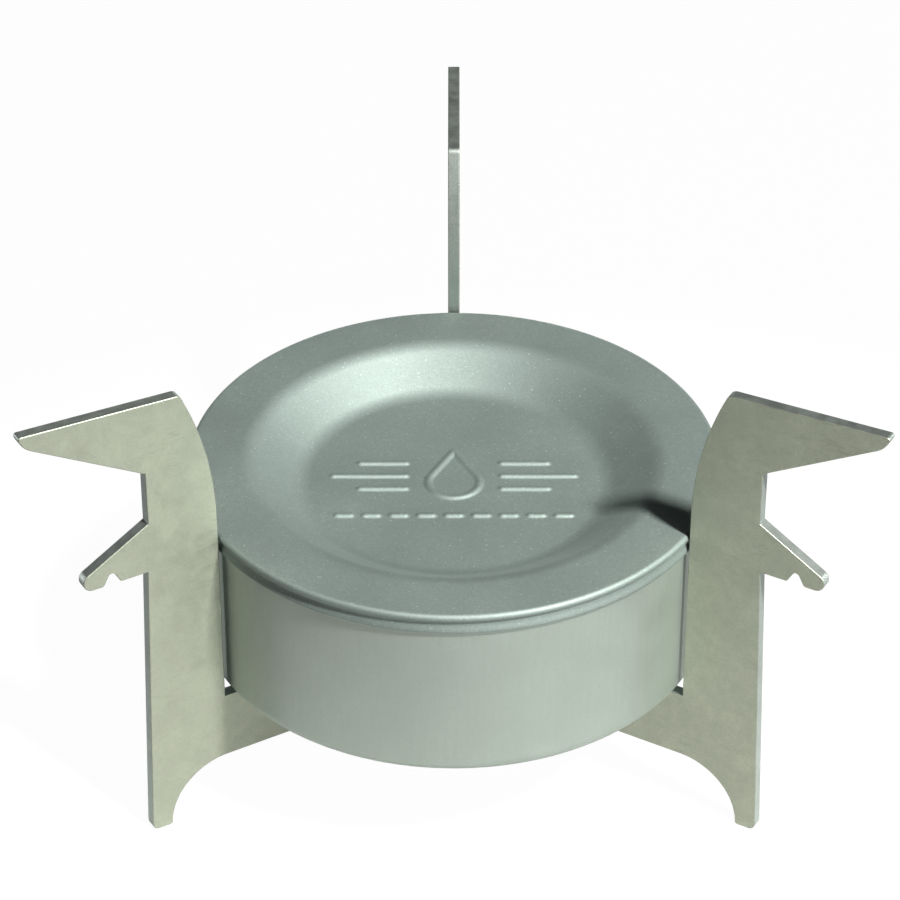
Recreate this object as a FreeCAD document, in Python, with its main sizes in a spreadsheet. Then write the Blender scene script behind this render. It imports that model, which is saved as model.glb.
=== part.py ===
"""Spirit burner: a lidded titanium cup that stands in a folding stand of three flat legs.

Millimetres, +Z up. The origin is on the ground, on the axis of the cup and of the hinge pin.
The rear leg points to +Y; the left and right legs stand 120 degrees from it.
Every leg is a flat plate in an upright plane through the axis: an arm under the cup, a post
beside it, an arm on top that carries the pot, a hook below that and a foot.
The inner end of each arm is welded to a barrel, and the three barrels turn on one upright pin.
"""
import FreeCAD, Part
import Sketcher
import math
import os
import re

DIMENSIONS = [
    # lid and cup, pressed from sheet
    ("lid_dia", 70.0, "outside of the lid"),
    ("lid_sheet", 0.5, "sheet of the lid"),
    ("lid_fit", 0.1, "radial gap between the lid's skirt and the cup"),
    ("lid_skirt", 2.7, "depth of the skirt"),
    ("lid_rim", 6.7, "width of the flat rim round the dish"),
    ("dish_floor_dia", 38.2, "flat floor of the dish"),
    ("dish_depth", 4.3, "depth of the dish"),
    ("dish_bend", 4.5, "radius of the bends above and below the dish's side"),
    ("cup_sheet", 0.5, "sheet of the cup"),
    ("cup_tall", 25.4, "height of the cup"),
    ("cup_corner", 2.0, "outside radius between wall and base"),
    # wick and liner inside the cup
    ("pad_thick", 4.0, "felt pad on the floor of the cup"),
    ("ring_tall", 10.0, "height of the felt ring along the wall"),
    ("ring_thick", 6.5, "thickness of that ring"),
    ("felt_gap", 0.2, "gap round the felt"),
    ("liner_sheet", 0.4, "sheet of the liner"),
    ("liner_gap", 0.3, "gap between the liner's flange and the cup"),
    ("well_lip", 1.0, "radius where the well meets the flange"),
    ("well_corner", 1.5, "radius at the foot of the well"),
    ("vent_dia", 3.0, "holes in the well"),
    ("jet_dia", 2.4, "holes in the flange"),
    ("jet_count", 24, "holes round the flange"),
    ("wall_vents", 16, "holes round the well's wall"),
    ("outer_vents", 12, "outer ring of holes in the well's floor"),
    ("outer_vent_dia", 32.0, "pitch circle of that ring"),
    ("inner_vents", 6, "inner ring of holes in the well's floor"),
    ("inner_vent_dia", 16.0, "pitch circle of that ring"),
    ("snap_wire", 1.0, "wire of the snap ring"),
    ("snap_open", 20.0, "angle left open between the ends of the snap ring"),
    ("snap_gap", 0.02, "gap round the snap ring"),
    # legs, cut from plate
    ("leg_thick", 1.6, "plate of the legs"),
    ("post_gap", 0.2, "gap between the lid and the posts"),
    ("post_width", 10.05, "post just below the hook"),
    ("neck_width", 9.65, "post between hook and pot arm"),
    ("foot_splay", 1.45, "how far the foot leans out"),
    ("foot_width", 2.95, "sole of the foot"),
    ("arm_depth", 9.85, "arm under the cup"),
    ("flame_gap", 24.4, "from the lid's top to the pot"),
    ("pot_rise", 1.1, "rise of the pot arm's top edge from its root to its tip"),
    ("pot_reach", 26.25, "pot arm, from the inner edge of the post"),
    ("pot_slope", 30.3, "underside of the pot arm, above the level"),
    ("pot_tip", 3.5, "radius under the tip of the pot arm"),
    ("pot_tip_turn", 50.0, "turn of that radius"),
    ("neck_rise", 3.2, "start of the neck's curve above the lid"),
    ("neck_curve", 48.0, "radius of the neck's inner edge"),
    ("hook_drop", 1.85, "underside of the hook below the lid's top"),
    ("hook_reach", 18.95, "hook, from the inner edge of the post"),
    ("hook_tip", 1.3, "radius of the hook's tip"),
    ("hook_slope", 30.0, "top edge of the hook, below the level"),
    ("notch_reach", 15.0, "middle of the notch, from the inner edge of the post"),
    ("notch_mouth", 2.4, "mouth of the notch"),
    ("notch_round", 0.5, "radius at the top of the notch"),
    ("notch_deep", 1.65, "depth of the notch"),
    ("notch_flare", 20.0, "lean of the notch's sides"),
    ("foot_round", 1.0, "outer corner of the foot"),
    ("small_round", 0.4, "lips of the notch and other small corners"),
    ("crown_round", 0.8, "inner top corner of the pot arm"),
    ("edge_break", 0.15, "worn edges of the plate"),
    # hinge
    ("pin_dia", 2.5, "shank of the pin"),
    ("pin_fit", 0.03, "radial gap between pin and barrels"),
    ("barrel_dia", 5.2, "outside of the barrels"),
    ("hub_inset", 0.6, "lowest barrel above the bottom of the arms"),
    ("tab_inset", 0.15, "tab of a leg inside the height of its barrel"),
    ("float_gap", 0.05, "end play between barrels"),
    ("head_dia", 5.0, "heads of the pin"),
    ("head_thick", 0.8, "each head of the pin"),
    ("head_recess", 0.15, "upper head below the cup"),
    ("washer_thick", 0.5, "washer under the lower head"),
    ("leaf_spread", 12.0, "angle between neighbouring legs when folded"),
    ("leaf_gap", 0.2, "gap between folded legs at their inner ends"),
    ("dog_tall", 0.7, "stop dogs of the rear barrel"),
    ("dog_angle", 60.0, "width of each stop dog"),
    ("dog_play", 1.5, "angle left at each end of a dog's travel"),
]

REAR_ANGLE = 90
LEFT_ANGLE = 210
RIGHT_ANGLE = 330
OPEN_ANGLE = 120
DOG_MIDDLE = 270
LOWER, MIDDLE, UPPER = 0, 1, 2

# Derived sizes, written as expressions of the cells above.
LID_R = "(lid_dia / 2)"
CUP_R = "(lid_dia / 2 - lid_sheet - lid_fit)"
CUP_IN_R = "(lid_dia / 2 - lid_sheet - lid_fit - cup_sheet)"
LID_CORNER = "(lid_sheet + lid_fit)"
POST_INNER = "(lid_dia / 2 + post_gap)"
ARCH = "(post_width + foot_splay - foot_width)"
ARM_TOP = f"({ARCH} + arm_depth)"
CUP_FLOOR = f"({ARM_TOP} + cup_sheet)"
CUP_RIM = f"({ARM_TOP} + cup_tall)"
LID_TOP = f"({CUP_RIM} + lid_sheet)"
POT_TOP = f"({LID_TOP} + flame_gap)"
PAD_TOP = f"({CUP_FLOOR} + pad_thick)"
RING_TOP = f"({PAD_TOP} + ring_tall)"
FLANGE_TOP = f"({RING_TOP} + liner_sheet)"
RING_IN_R = f"({CUP_IN_R} - felt_gap - ring_thick)"
WELL_R = f"({RING_IN_R} - felt_gap - well_lip)"
FLANGE_R = f"({CUP_IN_R} - liner_gap)"
HUB_BASE = f"({ARCH} + hub_inset)"
HUB_TOP = f"({ARM_TOP} - head_recess - head_thick - float_gap)"
BARREL_TALL = f"(({HUB_TOP} - {HUB_BASE} - 2 * float_gap) / 3)"
LEAF_INNER = "((leg_thick / 2 * (1 + cos(leaf_spread * 1 deg)) + leaf_gap) / sin(leaf_spread * 1 deg))"
SLOT_ANGLE = f"(dog_angle + {OPEN_ANGLE} - leaf_spread + 2 * dog_play)"

ALIASES = [name for name, value, note in DIMENSIONS]
doc = FreeCAD.newDocument("spirit_burner")


def cells(text):
    """The expression with each dimension's name pointing at its cell."""
    return re.sub(r"\b(" + "|".join(ALIASES) + r")\b", r"Dimensions.\1", text)


def value_of(text):
    """The number that an expression gives now."""
    result = sheet.evalExpression(cells(text))
    return float(getattr(result, "Value", result))


def bind(thing, **sizes):
    """Bind properties of a document object to expressions of the dimensions."""
    for prop, text in sizes.items():
        thing.setExpression(prop.replace("__", "."), cells(text))


def make_sheet():
    table = doc.addObject("Spreadsheet::Sheet", "Dimensions")
    for row, (name, value, note) in enumerate(DIMENSIONS, start=1):
        table.set(f"A{row}", name)
        table.set(f"B{row}", str(value))
        table.set(f"C{row}", note)
        table.setAlias(f"B{row}", name)
    doc.recompute()
    return table


def new_body(name):
    body = doc.addObject("PartDesign::Body", name)
    body.Label = name
    return body


def new_sketch(body, role, name):
    """A sketch on one of the body's own origin planes, found by its role."""
    sketch = body.newObject("Sketcher::SketchObject", name)
    plane = next(f for f in body.Origin.OriginFeatures if f.Role == role)
    sketch.AttachmentSupport = (plane, [""])
    sketch.MapMode = "FlatFace"
    return sketch


def pin_point(sketch, piece, end, name, x, y):
    """Fix one end of a sketch line or arc at expressions measured from the origin."""
    for kind, axis_line, text in (("DistanceX", -2, x), ("DistanceY", -1, y)):
        if text == "0":
            sketch.addConstraint(Sketcher.Constraint("PointOnObject", piece, end, axis_line))
            continue
        place = Sketcher.Constraint(kind, -1, 1, piece, end, value_of(text))
        index = sketch.addConstraint(place)
        sketch.renameConstraint(index, f"{name}_{kind[-1].lower()}")
        bind(sketch, **{f"Constraints__{name}_{kind[-1].lower()}": text})


def arc_between(start, end, radius, left):
    """An arc from start to end with its centre on the given side of the way from one to the other."""
    chord = end - start
    half = chord.Length / 2
    across = FreeCAD.Vector(-chord.y, chord.x, 0).normalize() * (1 if left else -1)
    centre = start + chord * 0.5 + across * math.sqrt(max(radius**2 - half**2, 0.0))
    first, last = (start, end) if left else (end, start)
    angles = [math.atan2(p.y - centre.y, p.x - centre.x) for p in (first, last)]
    circle = Part.Circle(centre, FreeCAD.Vector(0, 0, 1), radius)
    return Part.ArcOfCircle(circle, *angles)


def draw_outline(sketch, corners):
    """Draw a closed outline. A corner is (name, x, y), and a line runs to the next corner;
    (name, x, y, radius, side) makes an arc of it, with its centre to the left or right."""
    spots = [FreeCAD.Vector(value_of(c[1]), value_of(c[2]), 0) for c in corners]
    ends = []
    for index, corner in enumerate(corners):
        start, end = spots[index], spots[(index + 1) % len(spots)]
        if len(corner) == 3:
            piece = sketch.addGeometry(Part.LineSegment(start, end), False)
            ends.append((piece, 1, 2))
            continue
        radius, side = corner[3:]
        piece = sketch.addGeometry(arc_between(start, end, value_of(radius), side == "left"), False)
        ends.append((piece, 1, 2) if side == "left" else (piece, 2, 1))
    for index, corner in enumerate(corners):
        piece, start, _ = ends[index]
        before, _, end = ends[index - 1]
        sketch.addConstraint(Sketcher.Constraint("Coincident", before, end, piece, start))
        pin_point(sketch, piece, start, corner[0], corner[1], corner[2])
        if len(corner) == 5:
            rule = sketch.addConstraint(Sketcher.Constraint("Radius", piece, value_of(corner[3])))
            sketch.renameConstraint(rule, f"{corner[0]}_radius")
            bind(sketch, **{f"Constraints__{corner[0]}_radius": corner[3]})


def draw_circle(sketch, name, x, y, diameter):
    circle = Part.Circle(FreeCAD.Vector(0, 0, 0), FreeCAD.Vector(0, 0, 1), value_of(diameter) / 2)
    circle.Center = FreeCAD.Vector(value_of(x), value_of(y), 0)
    piece = sketch.addGeometry(circle, False)
    pin_point(sketch, piece, 3, name, x, y)
    rule = sketch.addConstraint(Sketcher.Constraint("Diameter", piece, value_of(diameter)))
    sketch.renameConstraint(rule, f"{name}_dia")
    bind(sketch, **{f"Constraints__{name}_dia": diameter})


def revolve(body, corners):
    """Turn an outline of radius and height about the body's upright axis."""
    sketch = new_sketch(body, "XZ_Plane", f"{body.Name}_profile")
    draw_outline(sketch, corners)
    turned = body.newObject("PartDesign::Revolution", f"{body.Name}_turned")
    turned.Profile = sketch
    turned.ReferenceAxis = (sketch, ["V_Axis"])
    turned.Angle = 360
    doc.recompute()
    return turned


def cut_through(body, name, role, x, y, diameter, both_ways=True):
    """Cut a round hole across the body, from one of its origin planes."""
    sketch = new_sketch(body, role, f"{name}_circle")
    draw_circle(sketch, name, x, y, diameter)
    before = body.Shape.Volume
    pocket = body.newObject("PartDesign::Pocket", name)
    pocket.Profile = sketch
    pocket.Type = "Length"
    pocket.SideType = "Symmetric" if both_ways else "One side"
    bind(pocket, Length=f"4 * {POT_TOP}" if both_ways else f"2 * {LID_R}")
    doc.recompute()
    if not both_ways and body.Shape.Volume >= before:
        pocket.Reversed = True
        doc.recompute()
    return pocket


def hole_ring(body, name, role, x, y, diameter, count, both_ways=True):
    """A ring of equal holes about the body's upright axis."""
    hole = cut_through(body, name, role, x, y, diameter, both_ways)
    ring = body.newObject("PartDesign::PolarPattern", f"{name}_ring")
    ring.Originals = [hole]
    ring.Axis = (next(f for f in body.Origin.OriginFeatures if f.Role == "Z_Axis"), [""])
    ring.Angle = 360
    bind(ring, Occurrences=count)
    body.Tip = ring
    doc.recompute()


def round_corners(body, name, spots, radius):
    """Round the corners of the plate that stand at the given places of its outline."""
    base = body.Tip
    found = []
    for x, z in spots:
        x, z = value_of(x), value_of(z)
        for number, edge in enumerate(base.Shape.Edges, start=1):
            middle = edge.CenterOfMass
            across = abs(edge.tangentAt(edge.FirstParameter).y) > 0.999
            if across and math.hypot(middle.x - x, middle.z - z) < 0.01:
                found.append(f"Edge{number}")
    fillet = body.newObject("PartDesign::Fillet", name)
    fillet.Base = (base, found)
    bind(fillet, Radius=radius)
    doc.recompute()


def break_edges(body):
    """Round off the sharp edges of both faces of the plate, outside the hinge."""
    base = body.Tip
    face_y = value_of("leg_thick / 2")
    inner = value_of(LEAF_INNER)
    found = []
    for number, edge in enumerate(base.Shape.Edges, start=1):
        box = edge.BoundBox
        flat = box.YMax - box.YMin < 1e-6 and abs(abs(box.YMin) - face_y) < 1e-6
        if flat and box.XMin > inner + 0.01:
            found.append(f"Edge{number}")
    worn = body.newObject("PartDesign::Fillet", f"{body.Name}_worn_edges")
    worn.Base = (base, found)
    bind(worn, Radius="edge_break")
    doc.recompute()


def level_base(level):
    """Height of a barrel's lower end."""
    return f"({HUB_BASE} + {level} * ({BARREL_TALL} + float_gap))"


def make_leg(name, angle, level):
    """One flat leg. It is drawn in the plane of X and Z and then turned to its place."""
    foot_outer = f"({POST_INNER} + post_width + foot_splay)"
    hook_low = f"({LID_TOP} - hook_drop)"
    notch = f"({POST_INNER} + notch_reach)"
    notch_half = "(notch_round * cos(notch_flare * 1 deg))"
    notch_spring = f"({hook_low} + notch_deep - notch_round * (1 - sin(notch_flare * 1 deg)))"
    hook_x = f"({POST_INNER} + hook_reach - hook_tip)"
    hook_top_x = f"({hook_x} + hook_tip * sin(hook_slope * 1 deg))"
    hook_top_z = f"({hook_low} + hook_tip * (1 + cos(hook_slope * 1 deg)))"
    neck = f"({POST_INNER} + neck_width)"
    hook_root = f"({hook_top_z} + ({hook_top_x} - {neck}) * tan(hook_slope * 1 deg))"
    tip_x = f"({POST_INNER} + pot_reach)"
    steep = "((pot_slope + pot_tip_turn) * 1 deg)"
    bend_x = f"({tip_x} - pot_tip * (sin({steep}) - sin(pot_slope * 1 deg)))"
    bend_z = f"({POT_TOP} - pot_tip * (cos(pot_slope * 1 deg) - cos({steep})))"
    arm_root = f"({bend_z} - ({bend_x} - {neck}) * tan(pot_slope * 1 deg))"
    neck_start = f"({LID_TOP} + neck_rise)"
    crown_z = f"({POT_TOP} - pot_rise)"
    crown = f"({POST_INNER} + neck_curve - sqrt(neck_curve^2 - ({crown_z} - {neck_start})^2))"
    tab_low = f"({level_base(level)} + tab_inset)"
    tab_high = f"({level_base(level)} + {BARREL_TALL} - tab_inset)"
    tab_end = "(barrel_dia / 4)"

    body = new_body(name)
    sketch = new_sketch(body, "XZ_Plane", f"{name}_outline")
    draw_outline(sketch, [
        ("sole_in", f"{foot_outer} - foot_width", "0"),
        ("sole_out", foot_outer, "0"),
        ("hook_start", f"{POST_INNER} + post_width", hook_low),
        ("lip_in", f"{notch} - notch_mouth / 2", hook_low),
        ("notch_in", f"{notch} - {notch_half}", notch_spring, "notch_round", "right"),
        ("notch_out", f"{notch} + {notch_half}", notch_spring),
        ("lip_out", f"{notch} + notch_mouth / 2", hook_low),
        ("hook_belly", hook_x, hook_low, "hook_tip", "left"),
        ("hook_brow", hook_top_x, hook_top_z),
        ("hook_root", neck, hook_root),
        ("arm_root", neck, arm_root),
        ("tip_bend", bend_x, bend_z, "pot_tip", "left"),
        ("tip", tip_x, POT_TOP),
        ("crown", crown, crown_z, "neck_curve", "left"),
        ("neck_start", POST_INNER, neck_start),
        ("seat_corner", POST_INNER, ARM_TOP),
        ("leaf_top", LEAF_INNER, ARM_TOP),
        ("tab_top", LEAF_INNER, tab_high),
        ("tab_end_top", tab_end, tab_high),
        ("tab_end_low", tab_end, tab_low),
        ("tab_low", LEAF_INNER, tab_low),
        ("leaf_low", LEAF_INNER, ARCH),
        ("arch_top", POST_INNER, ARCH, ARCH, "right"),
    ])
    plate = body.newObject("PartDesign::Pad", f"{name}_plate")
    plate.Profile = sketch
    plate.SideType = "Symmetric"
    bind(plate, Length="leg_thick")
    doc.recompute()
    round_corners(body, f"{name}_foot_corner", [(foot_outer, "0")], "foot_round")
    small = [
        (f"{foot_outer} - foot_width", "0"),
        (f"{notch} - notch_mouth / 2", hook_low),
        (f"{notch} + notch_mouth / 2", hook_low),
        (tip_x, POT_TOP),
    ]
    round_corners(body, f"{name}_small_corners", small, "small_round")
    round_corners(body, f"{name}_crown_corner", [(crown, crown_z)], "crown_round")
    break_edges(body)
    cut_through(body, f"{name}_saddle", "XY_Plane", "0", "0", "barrel_dia")
    body.Placement = FreeCAD.Placement(FreeCAD.Vector(), FreeCAD.Rotation(FreeCAD.Vector(0, 0, 1), angle))
    return body


def cylinder(name, radius, base, tall, start="0", angle="360"):
    """An upright cylinder on the hinge axis, or a slice of one from a start angle."""
    part = doc.addObject("Part::Cylinder", name)
    bind(part, Radius=radius, Height=tall, Angle=angle)
    part.Placement.Rotation = FreeCAD.Rotation(FreeCAD.Vector(0, 0, 1), value_of(start))
    bind(part, Placement__Base__z=base, Placement__Rotation__Angle=f"({start}) * 1 deg")
    return part


def subtract(name, base, tool):
    cut = doc.addObject("Part::Cut", name)
    cut.Base = base
    cut.Tool = tool
    return cut


def join(name, *shapes):
    fused = doc.addObject("Part::MultiFuse", name)
    fused.Shapes = list(shapes)
    return fused


def make_barrel(name, level, slot_start=None):
    """A barrel of the hinge. An outer one has a slot in the end that meets the rear barrel."""
    base = level_base(level)
    solid = cylinder(f"{name}_solid", "barrel_dia / 2", base, BARREL_TALL)
    if level == MIDDLE:
        dogs = cylinder(f"{name}_dogs", "barrel_dia / 2", f"{base} - dog_tall",
                        f"{BARREL_TALL} + 2 * dog_tall", f"{DOG_MIDDLE} - dog_angle / 2", "dog_angle")
        solid = join(f"{name}_with_dogs", solid, dogs)
    else:
        slot_base = f"{base} - float_gap" if level == UPPER else f"{base} + {BARREL_TALL} - dog_tall"
        slot = cylinder(f"{name}_slot", "barrel_dia", slot_base, "dog_tall + float_gap",
                        slot_start, SLOT_ANGLE)
        solid = subtract(f"{name}_slotted", solid, slot)
    bore = cylinder(f"{name}_bore", "pin_dia / 2 + pin_fit", f"{base} - 2 * dog_tall",
                    f"{BARREL_TALL} + 4 * dog_tall")
    barrel = subtract(name, solid, bore)
    barrel.Label = name
    return barrel


def make_pin(name):
    """The pin: a shank with a flat upper head under the cup and a riveted lower head."""
    washer_base = f"({HUB_BASE} - float_gap - washer_thick)"
    shank = cylinder(f"{name}_shank", "pin_dia / 2", washer_base, f"{HUB_TOP} + float_gap - {washer_base}")
    upper = cylinder(f"{name}_upper_head", "head_dia / 2", f"{HUB_TOP} + float_gap", "head_thick")
    lower = doc.addObject("Part::Cone", f"{name}_lower_head")
    bind(lower, Radius1="head_dia / 3", Radius2="head_dia / 2", Height="head_thick",
         Placement__Base__z=f"{washer_base} - head_thick")
    pin = join(name, shank, upper, lower)
    pin.Label = name
    return pin


def make_washer(name):
    base = f"({HUB_BASE} - float_gap - washer_thick)"
    disc = cylinder(f"{name}_disc", "barrel_dia / 2", base, "washer_thick")
    hole = cylinder(f"{name}_hole", "pin_dia / 2 + pin_fit", f"{base} - washer_thick", "3 * washer_thick")
    washer = subtract(name, disc, hole)
    washer.Label = name
    return washer


def make_cup(name):
    body = new_body(name)
    bend = "(cup_corner - cup_sheet)"
    revolve(body, [
        ("base_middle", "0", ARM_TOP),
        ("base_edge", f"{CUP_R} - cup_corner", ARM_TOP, "cup_corner", "left"),
        ("wall_foot", CUP_R, f"{ARM_TOP} + cup_corner"),
        ("rim_out", CUP_R, CUP_RIM),
        ("rim_in", CUP_IN_R, CUP_RIM),
        ("wall_foot_in", CUP_IN_R, f"{ARM_TOP} + cup_corner", bend, "right"),
        ("floor_edge", f"{CUP_R} - cup_corner", CUP_FLOOR),
        ("floor_middle", "0", CUP_FLOOR),
    ])
    return body


def make_lid(name):
    """The lid: a skirt, a flat rim and a dish whose sloping side runs between two equal bends."""
    run = f"({LID_R} - lid_rim - dish_floor_dia / 2)"
    bend_sum = "(4 * dish_bend - dish_depth)"
    lean = f"(2 * atan(({run} - sqrt({run}^2 - {bend_sum} * dish_depth)) / {bend_sum}))"
    rim_in = f"({LID_R} - lid_rim)"
    floor_r = "(dish_floor_dia / 2)"
    floor_z = f"({LID_TOP} - dish_depth)"
    low_x = f"({floor_r} + dish_bend * sin({lean}))"
    low_z = f"({floor_z} + dish_bend * (1 - cos({lean})))"
    high_x = f"({rim_in} - dish_bend * sin({lean}))"
    high_z = f"({LID_TOP} - dish_bend * (1 - cos({lean})))"
    shift_x = f"lid_sheet * sin({lean})"
    shift_z = f"lid_sheet * cos({lean})"
    under = f"({LID_TOP} - lid_sheet)"
    inside = f"({LID_R} - lid_sheet)"
    body = new_body(name)
    revolve(body, [
        ("floor_middle", "0", f"{floor_z} - lid_sheet"),
        ("floor_edge_under", floor_r, f"{floor_z} - lid_sheet", "dish_bend + lid_sheet", "left"),
        ("side_low_under", f"{low_x} + {shift_x}", f"{low_z} - {shift_z}"),
        ("side_high_under", f"{high_x} + {shift_x}", f"{high_z} - {shift_z}",
         "dish_bend - lid_sheet", "right"),
        ("rim_under", rim_in, under),
        ("skirt_bend_in", f"{LID_R} - {LID_CORNER}", under, "lid_fit", "right"),
        ("skirt_in", inside, f"{LID_TOP} - {LID_CORNER}"),
        ("mouth_in", inside, f"{LID_TOP} - lid_skirt"),
        ("mouth_out", LID_R, f"{LID_TOP} - lid_skirt"),
        ("skirt_out", LID_R, f"{LID_TOP} - {LID_CORNER}", LID_CORNER, "left"),
        ("rim_out", f"{LID_R} - {LID_CORNER}", LID_TOP),
        ("rim_edge", rim_in, LID_TOP, "dish_bend", "left"),
        ("side_high", high_x, high_z),
        ("side_low", low_x, low_z, "dish_bend", "right"),
        ("floor_edge", floor_r, floor_z),
        ("floor_top", "0", floor_z),
    ])
    return body


def make_liner(name):
    """The liner: a perforated well with a flange that holds the felt down."""
    well_floor = f"({PAD_TOP} + liner_sheet)"
    flange_under = RING_TOP
    body = new_body(name)
    revolve(body, [
        ("floor_under", "0", PAD_TOP),
        ("corner_under", f"{WELL_R} - well_corner", PAD_TOP, "well_corner + liner_sheet", "left"),
        ("wall_low_out", f"{WELL_R} + liner_sheet", f"{well_floor} + well_corner"),
        ("wall_high_out", f"{WELL_R} + liner_sheet", f"{FLANGE_TOP} - well_lip",
         "well_lip - liner_sheet", "right"),
        ("flange_root", f"{WELL_R} + well_lip", flange_under),
        ("flange_end_under", FLANGE_R, flange_under),
        ("flange_end", FLANGE_R, FLANGE_TOP),
        ("lip", f"{WELL_R} + well_lip", FLANGE_TOP, "well_lip", "left"),
        ("wall_high", WELL_R, f"{FLANGE_TOP} - well_lip"),
        ("wall_low", WELL_R, f"{well_floor} + well_corner", "well_corner", "right"),
        ("corner", f"{WELL_R} - well_corner", well_floor),
        ("floor", "0", well_floor),
    ])
    flange_middle = f"(({WELL_R} + well_lip + {FLANGE_R}) / 2)"
    wall_middle = f"(({well_floor} + {FLANGE_TOP}) / 2)"
    hole_ring(body, "jets", "XY_Plane", flange_middle, "0", "jet_dia", "jet_count")
    hole_ring(body, "outer_floor_vents", "XY_Plane", "outer_vent_dia / 2", "0", "vent_dia", "outer_vents")
    hole_ring(body, "inner_floor_vents", "XY_Plane", "inner_vent_dia / 2", "0", "vent_dia", "inner_vents")
    hole_ring(body, "side_vents", "YZ_Plane", "0", wall_middle, "vent_dia", "wall_vents", both_ways=False)
    cut_through(body, "middle_vent", "XY_Plane", "0", "0", "vent_dia")
    return body


def make_pad(name):
    pad = cylinder(name, f"{CUP_R} - cup_corner - felt_gap", CUP_FLOOR, "pad_thick")
    pad.Label = name
    return pad


def make_felt_ring(name):
    outer = cylinder(f"{name}_outer", f"{CUP_IN_R} - felt_gap", PAD_TOP, "ring_tall")
    inner = cylinder(f"{name}_inner", RING_IN_R, f"{PAD_TOP} - ring_tall", "3 * ring_tall")
    ring = subtract(name, outer, inner)
    ring.Label = name
    return ring


def make_snap_ring(name):
    """An open ring of spring wire that keeps the liner down."""
    ring = doc.addObject("Part::Torus", name)
    ring.Label = name
    bind(ring, Radius1=f"{CUP_IN_R} - snap_gap - snap_wire / 2", Radius2="snap_wire / 2",
         Angle3="360 - snap_open", Placement__Base__z=f"{FLANGE_TOP} + snap_gap + snap_wire / 2")
    return ring


def check_and_write(pieces):
    """Stop if anything failed, then write every piece to its own file."""
    doc.recompute()
    failed = [o.Name for o in doc.Objects if "Invalid" in o.State or "Error" in o.State]
    for piece in pieces:
        if piece.Shape.isNull() or not piece.Shape.isValid() or len(piece.Shape.Solids) != 1:
            failed.append(piece.Label)
    if failed:
        raise SystemExit(f"not built: {failed}")
    os.makedirs("parts", exist_ok=True)
    for piece in pieces:
        piece.Shape.exportStep(f"parts/{piece.Label}.step")
        print(f"{piece.Label}: {piece.Shape.Volume:.2f} mm3")


sheet = make_sheet()
dog_start = f"({DOG_MIDDLE} - dog_angle / 2 - dog_play)"
dog_end = f"({DOG_MIDDLE} + dog_angle / 2 + dog_play)"
check_and_write([
    make_leg("leg_rear", REAR_ANGLE, MIDDLE),
    make_leg("leg_left", LEFT_ANGLE, UPPER),
    make_leg("leg_right", RIGHT_ANGLE, LOWER),
    make_barrel("barrel_rear", MIDDLE),
    make_barrel("barrel_left", UPPER, dog_start),
    make_barrel("barrel_right", LOWER, f"({dog_end} - {SLOT_ANGLE})"),
    make_pin("hinge_pin"),
    make_washer("hinge_washer"),
    make_cup("burner_cup"),
    make_pad("wick_floor_pad"),
    make_felt_ring("wick_wall_ring"),
    make_liner("wick_liner"),
    make_snap_ring("snap_ring"),
    make_lid("lid"),
])
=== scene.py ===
"""Looks of the folding spirit burner: titanium sheet and plate, felt, floor, light and camera.

Metres, +Z up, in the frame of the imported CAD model. The rear leg points to +Y.
"""
import math

import bpy
import numpy as np
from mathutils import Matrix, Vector


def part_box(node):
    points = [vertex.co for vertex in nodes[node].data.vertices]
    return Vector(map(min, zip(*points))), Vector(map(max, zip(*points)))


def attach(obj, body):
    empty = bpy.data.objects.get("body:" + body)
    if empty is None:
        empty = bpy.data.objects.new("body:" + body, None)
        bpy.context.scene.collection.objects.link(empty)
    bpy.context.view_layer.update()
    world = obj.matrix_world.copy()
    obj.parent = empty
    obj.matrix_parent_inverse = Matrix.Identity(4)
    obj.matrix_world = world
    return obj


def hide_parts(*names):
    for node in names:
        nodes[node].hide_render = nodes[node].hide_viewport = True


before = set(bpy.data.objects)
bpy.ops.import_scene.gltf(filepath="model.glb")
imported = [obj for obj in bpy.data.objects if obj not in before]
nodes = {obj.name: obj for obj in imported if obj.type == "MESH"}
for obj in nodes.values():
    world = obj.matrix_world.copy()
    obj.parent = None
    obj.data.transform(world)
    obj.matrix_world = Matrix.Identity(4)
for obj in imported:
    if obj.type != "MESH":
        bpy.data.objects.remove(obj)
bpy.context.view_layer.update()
MM = 0.001

# Sizes of the pressed lid, in millimetres. Its radius and its height come from the frame.
LID_SHEET = 0.5
LID_RIM = 6.7
LID_CORNER = 0.6
SKIRT_ROWS = 5
SKIRT_DEPTH = 2.65
SKIRT_TAPER = 0.40
SKIRT_FLARE = 0.30
SKIRT_FLARE_HIGH = 1.2
SKIRT_LIP = 0.07
DISH_FLOOR_RADIUS = 19.1
DISH_DEPTH = 4.3
DISH_BEND = 4.5
COLUMNS = 176
FINE_ROWS = 105
FINE_FROM, FINE_TO = -0.6, 0.5
COARSE_ROWS = (13, 16)
BEND_STEPS = 12

# The pressed mark on the floor of the dish: a drop between bars, over a row of dashes.
MARK_HEIGHT = 0.27
MARK_STROKE = 0.8
MARK_SOFT = 0.4
DROP_MIDDLE = -0.2
DROP_RADIUS = 3.4
DROP_TIP = 7.0
BAR_INNER = 6.4
BAR_LENGTHS = (6.0, 9.6, 6.0)
BAR_PITCH = 2.9
BAR_MIDDLE = 1.3
DASH_ROW = -7.6
DASH_COUNT = 9
DASH_PITCH = 3.6
DASH_HALF = 0.85

# Felt, in millimetres: rounding of its edges, unevenness of its surface, and room round it.
FELT_ROUND = 0.7
FELT_WAVE = 0.09
FELT_ROOM = 0.12
FELT_STEP = 0.9
FELT_SEGMENTS = 220
FELT_RING_THICK = 6.5
FELT_CENTRE_HOLE = 0.4
FELT_BEND_STEPS = 5

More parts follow.
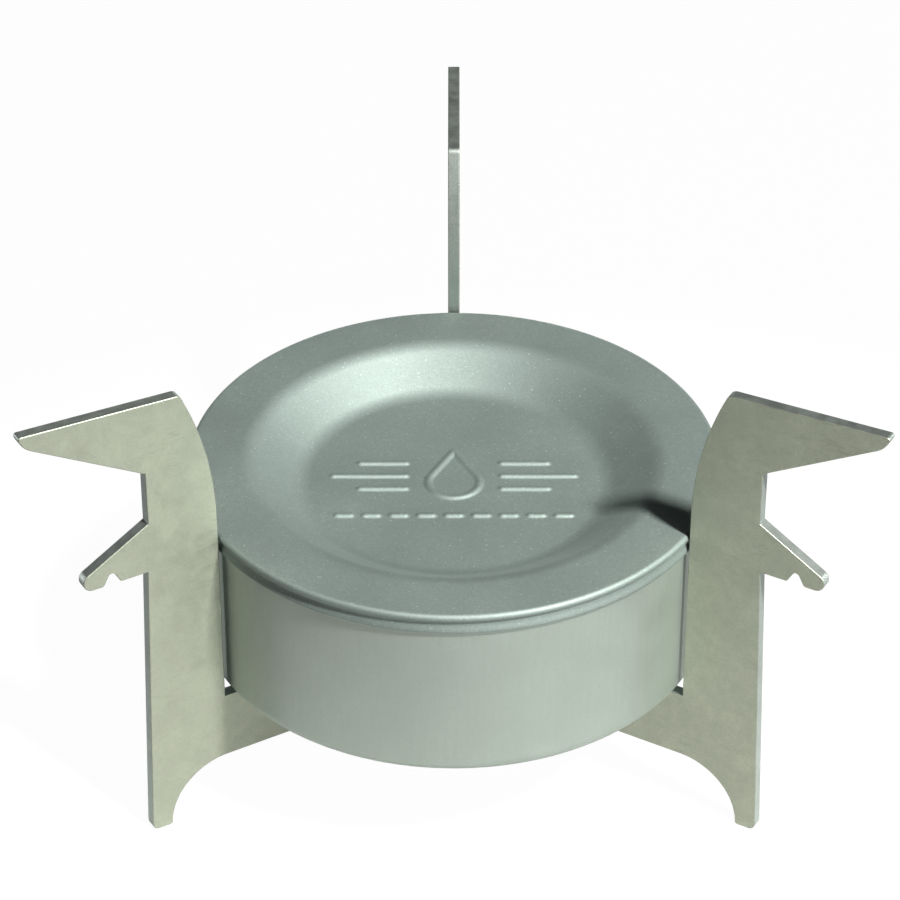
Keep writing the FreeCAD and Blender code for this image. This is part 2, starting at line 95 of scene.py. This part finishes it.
# Colours of the finishes, and how much a face may turn from flat or from the edge's level.
LID_COLOUR = (0.325, 0.393, 0.37)
CUP_COLOUR = (0.515, 0.585, 0.53)
FACE_COLOUR = (0.525, 0.565, 0.46)
# The edge colour is darker than the faces: painted shade on the legs' cut edges, which the hinge parts take
# too.
EDGE_SHADE_COLOUR = (0.315, 0.35, 0.33)
LINER_COLOUR = (0.55, 0.56, 0.54)
FELT_DARK = (0.62, 0.6, 0.55)
FELT_PALE = (0.82, 0.81, 0.77)
FELT_STAIN = (0.6, 0.56, 0.48)
FACE_FROM = 0.95
EDGE_TO = 0.25
LIT_OUTWARD_FROM = 0.6

# Floor, backdrop and camera, in metres and degrees.
FLOOR_HALF = 3.0
# A pool of light painted into the floor's colour: paler near the object, darker away from it.
PAINTED_POOL_MIDDLE = (0.012, -0.03, 0)
PAINTED_POOL_NEAR, PAINTED_POOL_FAR = 0.05, 0.14
PAINTED_POOL_PALE, PAINTED_POOL_DARK = 0.37, 0.06
PAPER_SEEN = 0.86
PAPER_GLOW = 1.13
WORLD_COLOUR = (0.9, 0.97, 1.0, 1)
WORLD_STRENGTH = 0.02
LIGHTS_AIM = Vector((0, 0, 0.03))
CAMERA_ELEVATION = 34.94
CAMERA_DISTANCE = 0.4818
CAMERA_AIM = Vector((0, 0, 0.0456))
CAMERA_LENS = 146.5
CAMERA_SHIFT = (-0.0043, -0.0033)


# ---------------------------------------------------------------- mesh helpers
def add_piece(name, verts_mm, faces):
    """A smooth-shaded mesh object from vertices in millimetres."""
    mesh = bpy.data.meshes.new(name)
    mesh.from_pydata((np.asarray(verts_mm) * MM).tolist(), [], faces)
    mesh.polygons.foreach_set("use_smooth", [True] * len(mesh.polygons))
    mesh.update()
    mesh.validate()
    piece = bpy.data.objects.new(name, mesh)
    bpy.context.scene.collection.objects.link(piece)
    return piece


def arc(centre_r, centre_z, radius, start, end, steps):
    """Points of radius and height on an arc. Angles are in degrees from the outward level."""
    turn = np.radians(np.linspace(start, end, steps + 1))
    return np.stack([centre_r + radius * np.cos(turn), centre_z + radius * np.sin(turn)], axis=1)


def smooth_step(value):
    """An even climb from 0 to 1 with soft ends."""
    value = np.clip(value, 0, 1)
    return value * value * (3 - 2 * value)


def quad_rows(first, second, count):
    """Faces between two closed rows of vertices that start at the given numbers."""
    after = [(i + 1) % count for i in range(count)]
    return [(first + i, first + after[i], second + after[i], second + i) for i in range(count)]


# ---------------------------------------------------------------- lid
def mark_segments():
    """The strokes of the mark as straight segments, in millimetres on the dish floor."""
    reach = DROP_TIP - DROP_MIDDLE
    shoulder = math.degrees(math.asin(DROP_RADIUS / reach))
    angles = np.radians(np.linspace(180 - shoulder, 360 + shoulder, 41))
    belly = [(DROP_RADIUS * math.cos(a), DROP_MIDDLE + DROP_RADIUS * math.sin(a)) for a in angles]
    outline = [(0, DROP_TIP)] + belly + [(0, DROP_TIP)]
    strokes = list(zip(outline, outline[1:]))
    for row, length in enumerate(BAR_LENGTHS):
        y = BAR_MIDDLE + (1 - row) * BAR_PITCH
        for side in (-1, 1):
            strokes.append(((side * BAR_INNER, y), (side * (BAR_INNER + length), y)))
    for number in range(DASH_COUNT):
        x = (number - (DASH_COUNT - 1) / 2) * DASH_PITCH
        strokes.append(((x - DASH_HALF, DASH_ROW), (x + DASH_HALF, DASH_ROW)))
    return strokes


def mark_relief(points):
    """Height of the mark above the dish floor at each point."""
    nearest = np.full(len(points), 1e9)
    for start, end in mark_segments():
        start, run = np.array(start), np.subtract(end, start)
        along = np.clip((points - start) @ run / max(run @ run, 1e-9), 0, 1)
        nearest = np.minimum(nearest, np.linalg.norm(points - start - along[:, None] * run, axis=1))
    return MARK_HEIGHT * smooth_step((MARK_STROKE / 2 + MARK_SOFT / 2 - nearest) / MARK_SOFT)


def disc_grid():
    """Points of a square grid that fills the unit disc, and the numbers of its border in order."""
    across = np.linspace(-1, 1, COLUMNS + 1)
    rows = np.concatenate([
        np.linspace(-1, FINE_FROM, COARSE_ROWS[0], endpoint=False),
        np.linspace(FINE_FROM, FINE_TO, FINE_ROWS, endpoint=False),
        np.linspace(FINE_TO, 1, COARSE_ROWS[1] + 1),
    ])
    u, v = np.meshgrid(across, rows)
    points = np.stack([u * np.sqrt(1 - v * v / 2), v * np.sqrt(1 - u * u / 2)], axis=2)
    numbers = np.arange(u.size).reshape(u.shape)
    border = np.concatenate([numbers[0, :-1], numbers[:-1, -1], numbers[-1, :0:-1], numbers[:0:-1, 0]])
    quads = np.stack([numbers[:-1, :-1], numbers[:-1, 1:], numbers[1:, 1:], numbers[1:, :-1]], axis=2)
    return points.reshape(-1, 2), border, quads.reshape(-1, 4)


def lid_profile(radius, top):
    """Radius and height from the edge of the dish floor, over the rim and skirt, to the underside."""
    run = radius - LID_RIM - DISH_FLOOR_RADIUS
    bend_sum = 4 * DISH_BEND - DISH_DEPTH
    half_lean = (run - math.sqrt(run**2 - bend_sum * DISH_DEPTH)) / bend_sum
    lean = math.degrees(2 * math.atan(half_lean))
    floor_z, rim_r = top - DISH_DEPTH, radius - LID_RIM
    corner_r, corner_z = radius - LID_CORNER, top - LID_CORNER
    lip_z = top - SKIRT_DEPTH + SKIRT_LIP
    waist_r, waist_z = radius - SKIRT_TAPER, lip_z + SKIRT_FLARE_HIGH
    low_bend = arc(DISH_FLOOR_RADIUS, floor_z + DISH_BEND, DISH_BEND, -90, lean - 90, BEND_STEPS)
    high_bend = arc(rim_r, top - DISH_BEND, DISH_BEND, lean + 90, 90, BEND_STEPS)
    rim = [(rim_r + (corner_r - rim_r) * t, top) for t in (0.3, 0.65, 0.97)]
    corner = arc(corner_r, corner_z, LID_CORNER, 90, 0, 7)
    down = np.linspace(0, 1, SKIRT_ROWS + 1)[1:]
    skirt = [(radius - SKIRT_TAPER * smooth_step(t), corner_z + (waist_z - corner_z) * t) for t in down]
    flare = [(waist_r + SKIRT_FLARE * smooth_step(t), waist_z - SKIRT_FLARE_HIGH * t)
             for t in (0.25, 0.5, 0.75)]
    lip = arc(waist_r + SKIRT_FLARE - SKIRT_LIP, lip_z, SKIRT_LIP, 0, -180, 6)
    inner_corner = arc(corner_r, corner_z, LID_CORNER - LID_SHEET, 0, 90, 2)
    high_under = arc(rim_r, top - DISH_BEND, DISH_BEND - LID_SHEET, 90, lean + 90, 8)
    low_under = arc(DISH_FLOOR_RADIUS, floor_z + DISH_BEND, DISH_BEND + LID_SHEET, lean - 90, -90, 8)
    return np.concatenate([low_bend[1:], high_bend, rim, corner, skirt, flare, lip,
                           inner_corner, high_under, low_under[:-1]])


def make_lid():
    """The pressed lid: a dish with a raised mark, a flat rim and a skirt with a rolled edge."""
    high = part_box("lid")[1]
    radius, top = high[0] / MM, high[2] / MM
    unit, border, quads = disc_grid()
    points = unit * DISH_FLOOR_RADIUS
    height = top - DISH_DEPTH + mark_relief(points)
    upper = np.column_stack([points, height])
    under = np.column_stack([points, height - LID_SHEET])
    way = unit[border] / np.linalg.norm(unit[border], axis=1)[:, None]
    verts, faces = [upper], [tuple(q) for q in quads.tolist()]
    count = len(upper)
    ring = border.tolist()
    size = len(ring)
    for r, z in lid_profile(radius, top):
        verts.append(np.column_stack([way * r, np.full(size, z)]))
        row = list(range(count, count + size))
        faces += [(ring[i], row[i], row[(i + 1) % size], ring[(i + 1) % size]) for i in range(size)]
        ring, count = row, count + size
    verts.append(under)
    row = (border + count).tolist()
    faces += [(ring[i], row[i], row[(i + 1) % size], ring[(i + 1) % size]) for i in range(size)]
    faces += [tuple(reversed(q)) for q in (quads + count).tolist()]
    lid = add_piece("lid_pressed", np.concatenate(verts), faces)
    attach(lid, "lid")
    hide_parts("lid")
    return lid


# ---------------------------------------------------------------- felt
def felt_outline(inner, outer, low, high):
    """Radius and height round the section of a felt piece with soft corners."""
    def bend(centre_r, centre_z, start):
        return arc(centre_r, centre_z, FELT_ROUND, start, start - 90, FELT_BEND_STEPS)

    high_z, low_z = high - FELT_ROUND, low + FELT_ROUND
    points = [bend(outer - FELT_ROUND, high_z, 90), bend(outer - FELT_ROUND, low_z, 0)]
    if inner > 0:
        points += [bend(inner + FELT_ROUND, low_z, -90), bend(inner + FELT_ROUND, high_z, 180)]
    corners = np.concatenate(points)
    if inner > 0:
        corners = np.vstack([corners, corners[:1]])
    else:
        corners = np.vstack([[FELT_CENTRE_HOLE, high], corners, [FELT_CENTRE_HOLE, low]])
    spots = [corners[0]]
    for start, end in zip(corners, corners[1:]):
        steps = max(1, int(np.linalg.norm(end - start) / FELT_STEP))
        spots += [start + (end - start) * (k + 1) / steps for k in range(steps)]
    return spots[:-1] if inner > 0 else spots


def uneven(verts):
    """A gentle unevenness from a few crossed waves, at most one either way."""
    x, y, z = verts.T
    value = np.sin(0.9 * x + 0.7 * y) + np.sin(1.3 * y - 0.6 * x + 1.0) + np.sin(2.1 * x + 1.9 * z)
    value += np.sin(2.7 * y - 1.1 * z + 2.0) + np.sin(3.9 * x - 3.1 * y + 0.5)
    return value / 5


def make_felt(name, node, inner_radius):
    """A felt disc or ring with soft corners and an uneven surface, inside the room of its solid."""
    low, high = (np.array(corner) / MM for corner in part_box(node))
    room = FELT_ROOM + FELT_WAVE
    inner = inner_radius + room if inner_radius else 0
    outline = felt_outline(inner, high[0] - room, low[2] + room, high[2] - room)
    middle_r, middle_z = (inner + high[0]) / 2, (low[2] + high[2]) / 2
    turns = np.arange(FELT_SEGMENTS) * 2 * math.pi / FELT_SEGMENTS
    verts, faces = [], []
    for index, (r, z) in enumerate(outline):
        verts.append(np.column_stack([r * np.cos(turns), r * np.sin(turns), np.full(FELT_SEGMENTS, z)]))
        if index:
            start = (index - 1) * FELT_SEGMENTS
            faces += quad_rows(start, start + FELT_SEGMENTS, FELT_SEGMENTS)
    last = (len(outline) - 1) * FELT_SEGMENTS
    if inner_radius:
        faces += quad_rows(last, 0, FELT_SEGMENTS)
    else:
        faces.append(tuple(range(FELT_SEGMENTS - 1, -1, -1)))
        faces.append(tuple(range(last, last + FELT_SEGMENTS)))
    verts = np.concatenate(verts)
    outward = verts - (0, 0, middle_z)
    if inner_radius:
        outward[:, :2] *= np.where(np.hypot(*verts[:, :2].T) > middle_r, 1, -1)[:, None]
    outward /= np.linalg.norm(outward, axis=1)[:, None]
    verts += outward * uneven(verts)[:, None] * FELT_WAVE
    piece = add_piece(name, verts, faces)
    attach(piece, "cup")
    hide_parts(node)
    return piece


# ---------------------------------------------------------------- node helpers
def new_material(name):
    """A material with a Principled shader, and its node tree."""
    material = bpy.data.materials.new(name)
    material.use_nodes = True
    tree = material.node_tree
    tree.nodes.clear()
    output = tree.nodes.new("ShaderNodeOutputMaterial")
    shader = tree.nodes.new("ShaderNodeBsdfPrincipled")
    tree.links.new(shader.outputs["BSDF"], output.inputs["Surface"])
    return material, tree, shader


def object_place(tree, stretch=(1, 1, 1)):
    """The place on the piece in its own space, stretched along its axes."""
    coordinates = tree.nodes.new("ShaderNodeTexCoord")
    mapping = tree.nodes.new("ShaderNodeMapping")
    mapping.inputs["Scale"].default_value = stretch
    tree.links.new(coordinates.outputs["Object"], mapping.inputs["Vector"])
    return mapping.outputs["Vector"]


def noise(tree, place, grain_mm, detail=2.0, roughness=0.5):
    """Noise whose grains are about the given size."""
    texture = tree.nodes.new("ShaderNodeTexNoise")
    texture.inputs["Scale"].default_value = 1 / (grain_mm * MM)
    texture.inputs["Detail"].default_value = detail
    texture.inputs["Roughness"].default_value = roughness
    tree.links.new(place, texture.inputs["Vector"])
    return texture.outputs["Fac"]


def spread(tree, value, low, high, to_low, to_high):
    """The value carried from one range to another, held at its ends."""
    ramp = tree.nodes.new("ShaderNodeMapRange")
    ramp.inputs["From Min"].default_value = low
    ramp.inputs["From Max"].default_value = high
    ramp.inputs["To Min"].default_value = to_low
    ramp.inputs["To Max"].default_value = to_high
    tree.links.new(value, ramp.inputs["Value"])
    return ramp.outputs["Result"]


def mix_colour(tree, factor, first, second):
    """One colour laid over another. Each is a colour or a socket."""
    mix = tree.nodes.new("ShaderNodeMix")
    mix.data_type = "RGBA"
    for socket, value in ((mix.inputs[0], factor), (mix.inputs[6], first), (mix.inputs[7], second)):
        if isinstance(value, bpy.types.NodeSocket):
            tree.links.new(value, socket)
        else:
            socket.default_value = (*value, 1)
    return mix.outputs[2]


def bump(tree, height, depth_mm):
    """A bump whose full height is the given depth."""
    node = tree.nodes.new("ShaderNodeBump")
    node.inputs["Distance"].default_value = depth_mm * MM
    tree.links.new(height, node.inputs["Height"])
    return node.outputs["Normal"]


def shade(colour, factor):
    """The colour made darker or paler."""
    return tuple(channel * factor for channel in colour)


# ---------------------------------------------------------------- materials
def blasted_titanium(name, colour):
    """Bead-blasted sheet: a fine even grain, with small bright specks painted in as glints."""
    material, tree, shader = new_material(name)
    place = object_place(tree)
    cloud = spread(tree, noise(tree, place, 14, 3), 0.3, 0.7, 0, 1)
    grain = noise(tree, place, 0.24, 1)
    mottle = spread(tree, noise(tree, place, 1.1, 2), 0.35, 0.65, 0, 1)
    # Painted glints: small specks where the colour is made paler, standing for sparkle off the blasted
    # grain.
    glint_speck = spread(tree, noise(tree, place, 0.34, 0), 0.77, 0.85, 0, 1)
    tone = mix_colour(tree, cloud, shade(colour, 0.96), shade(colour, 1.04))
    tone = mix_colour(tree, spread(tree, mottle, 0, 1, 0, 0.5), tone, shade(colour, 0.9))
    tone = mix_colour(tree, spread(tree, grain, 0.3, 0.7, 0, 1), shade(colour, 0.84), tone)
    tone = mix_colour(tree, glint_speck, tone, shade(colour, 1.35))
    tree.links.new(tone, shader.inputs["Base Color"])
    rough = spread(tree, cloud, 0, 1, 0.70, 0.76)
    tree.links.new(rough, shader.inputs["Roughness"])
    tree.links.new(bump(tree, grain, 0.012), shader.inputs["Normal"])
    shader.inputs["Metallic"].default_value = 1.0
    shader.inputs["Coat Weight"].default_value = 0.6
    shader.inputs["Coat Roughness"].default_value = 0.55
    shader.inputs["Coat IOR"].default_value = 1.6
    return material


def drawn_titanium(name, colour):
    """Drawn sheet of the cup: smoother, with faint upright draw marks and pale clouds."""
    material, tree, shader = new_material(name)
    place = object_place(tree)
    cloud = spread(tree, noise(tree, place, 6, 4), 0.35, 0.65, 0, 1)
    drawn = noise(tree, object_place(tree, (1, 1, 0.12)), 0.7, 2)
    grain = noise(tree, place, 0.3, 1)
    tone = mix_colour(tree, cloud, shade(colour, 0.975), shade(colour, 1.02))
    tone = mix_colour(tree, spread(tree, drawn, 0.35, 0.65, 0, 0.5), tone, shade(colour, 0.95))
    tone = mix_colour(tree, spread(tree, grain, 0.35, 0.65, 0.25, 0), tone, shade(colour, 0.85))
    tree.links.new(tone, shader.inputs["Base Color"])
    rough = spread(tree, cloud, 0, 1, 0.57, 0.6)
    tree.links.new(rough, shader.inputs["Roughness"])
    tree.links.new(bump(tree, grain, 0.006), shader.inputs["Normal"])
    shader.inputs["Metallic"].default_value = 1.0
    return material


def plate_titanium(name, colour, roughness):
    """Tumbled plate of the legs: mottled, with short scratches that run every way."""
    material, tree, shader = new_material(name)
    place = object_place(tree)
    mottle = spread(tree, noise(tree, place, 5, 4), 0.35, 0.65, 0, 1)
    patch = spread(tree, noise(tree, place, 1.6, 3), 0.35, 0.65, 0, 1)
    grain = noise(tree, place, 0.3, 1)
    tone = mix_colour(tree, mottle, shade(colour, 0.93), shade(colour, 1.05))
    tone = mix_colour(tree, spread(tree, patch, 0, 1, 0, 0.45), tone, shade(colour, 0.9))
    tone = mix_colour(tree, spread(tree, grain, 0.35, 0.65, 0.4, 0), tone, shade(colour, 0.8))
    scuff = noise(tree, object_place(tree, (1, 1, 7)), 2.2, 3, 0.6)
    where = spread(tree, noise(tree, place, 11, 1), 0.5, 0.62, 0, 0.55)
    marks = mix_colour(tree, where, (0, 0, 0), spread(tree, scuff, 0.56, 0.62, 0, 1))
    tone = mix_colour(tree, marks, tone, shade(colour, 0.76))
    tree.links.new(tone, shader.inputs["Base Color"])
    rough = spread(tree, patch, 0, 1, roughness - 0.04, roughness + 0.05)
    tree.links.new(rough, shader.inputs["Roughness"])
    tree.links.new(bump(tree, grain, 0.008), shader.inputs["Normal"])
    shader.inputs["Metallic"].default_value = 1.0
    return material


def felt(name):
    """Pressed white fibre felt."""
    material, tree, shader = new_material(name)
    place = object_place(tree)
    fibre = noise(tree, object_place(tree, (1, 1, 3)), 0.5, 4, 0.7)
    cloud = noise(tree, place, 3, 3)
    tone = mix_colour(tree, spread(tree, fibre, 0.3, 0.7, 0, 1), FELT_DARK, FELT_PALE)
    tone = mix_colour(tree, spread(tree, cloud, 0.4, 0.7, 0, 0.35), tone, FELT_STAIN)
    tree.links.new(tone, shader.inputs["Base Color"])
    tree.links.new(bump(tree, fibre, 0.12), shader.inputs["Normal"])
    shader.inputs["Roughness"].default_value = 0.95
    shader.inputs["Sheen Weight"].default_value = 0.3
    return material


lid_metal = blasted_titanium("lid_titanium", LID_COLOUR)
cup_metal = drawn_titanium("cup_titanium", CUP_COLOUR)
liner_metal = drawn_titanium("liner_titanium", LINER_COLOUR)
face_metal = plate_titanium("leg_face_titanium", FACE_COLOUR, 0.6)
edge_shade_metal = plate_titanium("leg_edge_titanium_painted_shade", EDGE_SHADE_COLOUR, 0.6)
worn_metal = plate_titanium("leg_worn_titanium", shade(FACE_COLOUR, 0.85), 0.55)
# The outward edges' finish is the edge colour made paler: painted light on the side edges.
outer_lit_metal = plate_titanium("leg_outer_titanium_painted_light", shade(EDGE_SHADE_COLOUR, 1.75), 0.6)
felt_fibre = felt("felt_fibre")


def paint(piece, *finishes):
    """Give a piece these finishes in place of the ones it has."""
    piece.data.materials.clear()
    for material in finishes:
        piece.data.materials.append(material)


def paint_leg(leg, angle):
    """Give the faces of a leg one finish, its cut edges a darker one that paints shade on them and its worn
    corners a third.

    The edges that face away from the stove get a paler copy of the edge finish, which paints light on them.
    """
    face, edge, worn, outer = range(4)
    paint(leg, face_metal, edge_shade_metal, worn_metal, outer_lit_metal)
    across = Vector((-math.sin(angle), math.cos(angle), 0))
    outward = Vector((math.cos(angle), math.sin(angle), 0))
    for polygon in leg.data.polygons:
        facing = abs(polygon.normal.dot(across))
        if facing > FACE_FROM:
            polygon.material_index = face
        elif facing >= EDGE_TO:
            polygon.material_index = worn
        else:
            # Edges facing away from the stove take the paler finish, which is painted light.
            polygon.material_index = outer if polygon.normal.dot(outward) > LIT_OUTWARD_FROM else edge


for leg_name, degrees in (("leg_rear", 90), ("leg_left", 210), ("leg_right", 330)):
    paint_leg(nodes[leg_name], math.radians(degrees))
for name in ("barrel_rear", "barrel_left", "barrel_right", "hinge_pin", "hinge_washer", "snap_ring"):
    paint(nodes[name], edge_shade_metal)
paint(nodes["burner_cup"], cup_metal)
paint(nodes["wick_liner"], liner_metal)
paint(make_lid(), lid_metal)
ring_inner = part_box("wick_wall_ring")[1][0] / MM - FELT_RING_THICK
paint(make_felt("wick_floor_felt", "wick_floor_pad", 0), felt_fibre)
paint(make_felt("wick_wall_felt", "wick_wall_ring", ring_inner), felt_fibre)


# ---------------------------------------------------------------- studio
def paper_with_painted_pool(tree, output):
    """Plain paper with a pool of light painted into its colour beside the object, and nearly even white
    where it is seen directly.
    """
    place = tree.nodes.new("ShaderNodeNewGeometry").outputs["Position"]
    away = tree.nodes.new("ShaderNodeVectorMath")
    away.operation = "DISTANCE"
    away.inputs[1].default_value = PAINTED_POOL_MIDDLE
    tree.links.new(place, away.inputs[0])
    # Painted pool of light: the paper is paler near the middle of the pool and darker away from it.
    tone = spread(tree, away.outputs["Value"], PAINTED_POOL_NEAR, PAINTED_POOL_FAR, PAINTED_POOL_PALE, PAINTED_POOL_DARK)
    diffuse = tree.nodes.new("ShaderNodeBsdfDiffuse")
    tree.links.new(tone, diffuse.inputs["Color"])
    glow = tree.nodes.new("ShaderNodeEmission")
    glow.inputs["Strength"].default_value = PAPER_GLOW
    path = tree.nodes.new("ShaderNodeLightPath")
    seen = spread(tree, path.outputs["Is Camera Ray"], 0, 1, 0, PAPER_SEEN)
    both = tree.nodes.new("ShaderNodeMixShader")
    tree.links.new(seen, both.inputs[0])
    tree.links.new(diffuse.outputs["BSDF"], both.inputs[1])
    tree.links.new(glow.outputs["Emission"], both.inputs[2])
    tree.links.new(both.outputs["Shader"], output)


def make_floor():
    """A wide flat floor of plain paper."""
    half = FLOOR_HALF
    corners = [(-half, -half, 0), (half, -half, 0), (half, half, 0), (-half, half, 0)]
    mesh = bpy.data.meshes.new("floor")
    mesh.from_pydata(corners, [], [(0, 1, 2, 3)])
    floor = bpy.data.objects.new("floor", mesh)
    bpy.context.scene.collection.objects.link(floor)
    material = bpy.data.materials.new("floor_paper")
    material.use_nodes = True
    tree = material.node_tree
    tree.nodes.clear()
    output = tree.nodes.new("ShaderNodeOutputMaterial")
    paper_with_painted_pool(tree, output.inputs["Surface"])
    floor.data.materials.append(material)


def make_light(name, azimuth, elevation, distance, size, power, colour=(1, 1, 1)):
    """A square soft light that looks at the object. Azimuth 0 is on the camera's side, +90 to its right."""
    turn, rise = math.radians(azimuth), math.radians(elevation)
    level = math.cos(rise)
    towards = Vector((math.sin(turn) * level, -math.cos(turn) * level, math.sin(rise)))
    data = bpy.data.lights.new(name, "AREA")
    data.shape = "SQUARE"
    data.size = size
    data.energy = power
    data.color = colour
    light = bpy.data.objects.new(name, data)
    light.location = towards * distance + LIGHTS_AIM
    light.rotation_mode = "QUATERNION"
    light.rotation_quaternion = towards.to_track_quat("Z", "Y")
    light.visible_camera = False
    bpy.context.scene.collection.objects.link(light)


def make_world():
    """A weak even light, with a white backdrop above the floor."""
    world = bpy.data.worlds.new("studio")
    world.use_nodes = True
    tree = world.node_tree
    weak = tree.nodes["Background"]
    weak.inputs["Color"].default_value = WORLD_COLOUR
    weak.inputs["Strength"].default_value = WORLD_STRENGTH
    white = tree.nodes.new("ShaderNodeBackground")
    white.inputs["Color"].default_value = (1, 1, 1, 1)
    path = tree.nodes.new("ShaderNodeLightPath")
    both = tree.nodes.new("ShaderNodeMixShader")
    tree.links.new(path.outputs["Is Camera Ray"], both.inputs[0])
    tree.links.new(weak.outputs["Background"], both.inputs[1])
    tree.links.new(white.outputs["Background"], both.inputs[2])
    tree.links.new(both.outputs["Shader"], tree.nodes["World Output"].inputs["Surface"])
    bpy.context.scene.world = world


def make_camera():
    """A camera in front of the stove that looks down at it."""
    elevation = math.radians(CAMERA_ELEVATION)
    back = Vector((0, -math.cos(elevation), math.sin(elevation)))
    data = bpy.data.cameras.new("camera")
    data.lens = CAMERA_LENS
    data.sensor_width = 36
    data.shift_x, data.shift_y = CAMERA_SHIFT
    data.clip_start = 0.01
    camera = bpy.data.objects.new("camera", data)
    camera.location = CAMERA_AIM + back * CAMERA_DISTANCE
    camera.rotation_mode = "QUATERNION"
    camera.rotation_quaternion = back.to_track_quat("Z", "Y")
    bpy.context.scene.collection.objects.link(camera)
    bpy.context.scene.camera = camera


make_floor()
make_light("key_light", 46, 52, 1.3, 0.13, 41, (1, 0.985, 0.955))
make_light("low_card", 32, 12, 1.0, 0.5, 3.2)
make_light("left_card", -98, 5, 1.0, 0.16, 2.2)
make_light("right_card", 98, 5, 1.0, 0.16, 1.8)
make_light("back_card", 178, -1, 1.0, 0.05, 2.6)
make_world()
make_camera()
bpy.context.scene.view_settings.view_transform = "Standard"
